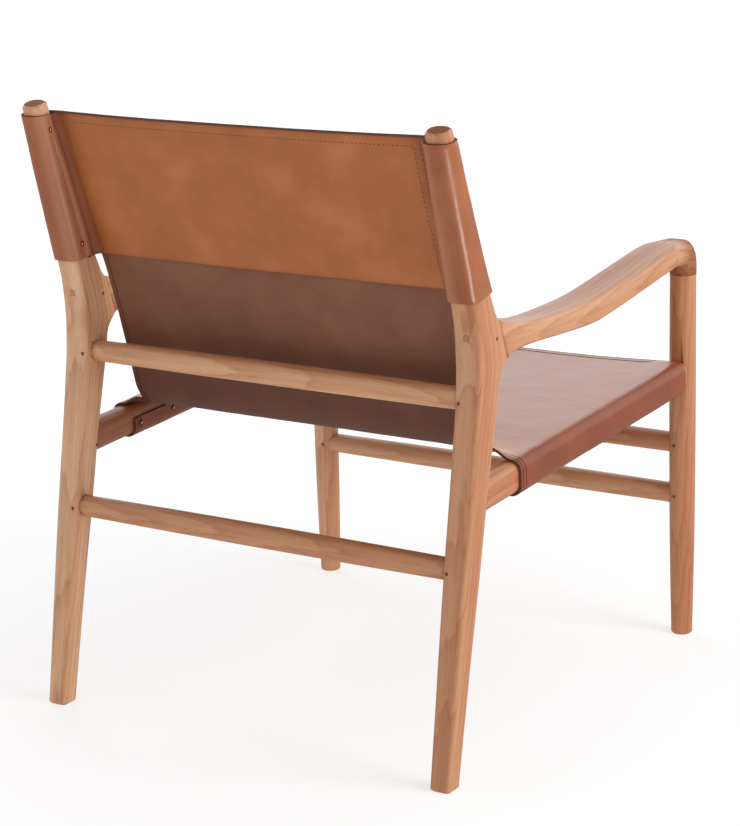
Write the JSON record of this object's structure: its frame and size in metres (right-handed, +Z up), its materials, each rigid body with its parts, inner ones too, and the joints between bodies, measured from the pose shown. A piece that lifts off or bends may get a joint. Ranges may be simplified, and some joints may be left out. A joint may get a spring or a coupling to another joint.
{
  "type": "lounge chair",
  "caption": "Low lounge chair: solid wood frame with sculpted arms and a single leather sheet slung as seat and back.",
  "frame": {"origin": "middle of the chair's bounding box, on the floor between the four feet", "axes": "+Z up, the chair faces -Y, the sitter's left is +X"},
  "size_m": [0.6252, 0.6422, 0.7645],
  "materials": {
    "teak": "satin, oiled",
    "end_grain_pegs": "matt end grain",
    "tan_leather": "satin, tan hair side in front and outside, dark brown flesh side behind",
    "aged_copper": "worn copper plate",
    "zinc_steel": "zinc plated"
  },
  "bodies": {
    "root": {"rear_post_left": "teak", "rear_post_right": "teak", "front_leg_left": "teak", "front_leg_right": "teak", "arm_left": "teak", "arm_right": "teak", "side_rail_left": "teak", "side_rail_right": "teak", "rear_upper_stretcher": "teak", "rear_lower_stretcher": "teak", "front_upper_stretcher": "teak", "front_lower_stretcher": "teak", "leather_sling": "tan_leather", "back_facing_panel": "tan_leather", "rail_stud_left_1": "aged_copper", "rail_stud_left_2": "aged_copper", "rail_stud_left_3": "aged_copper", "rail_stud_left_4": "aged_copper", "rail_stud_left_5": "aged_copper", "rail_stud_left_6": "aged_copper", "rail_stud_left_7": "aged_copper", "rail_stud_right_1": "aged_copper", "rail_stud_right_2": "aged_copper", "rail_stud_right_3": "aged_copper", "rail_stud_right_4": "aged_copper", "rail_stud_right_5": "aged_copper", "rail_stud_right_6": "aged_copper", "rail_stud_right_7": "aged_copper", "sleeve_stud_left_lower": "aged_copper", "sleeve_stud_left_upper": "aged_copper", "sleeve_stud_right_lower": "aged_copper", "sleeve_stud_right_upper": "aged_copper", "rear_upper_peg_left": "end_grain_pegs", "rear_lower_peg_left": "end_grain_pegs", "front_upper_peg_left": "end_grain_pegs", "front_lower_peg_left": "end_grain_pegs", "rail_peg_left": "end_grain_pegs", "arm_peg_left": "end_grain_pegs", "rear_upper_peg_right": "end_grain_pegs", "rear_lower_peg_right": "end_grain_pegs", "front_upper_peg_right": "end_grain_pegs", "front_lower_peg_right": "end_grain_pegs", "rail_peg_right": "end_grain_pegs", "arm_peg_right": "end_grain_pegs", "post_plug_left": "teak", "post_plug_right": "teak", "arm_screw_left": "zinc_steel", "arm_screw_right": "zinc_steel"}
  },
  "joints": []
}
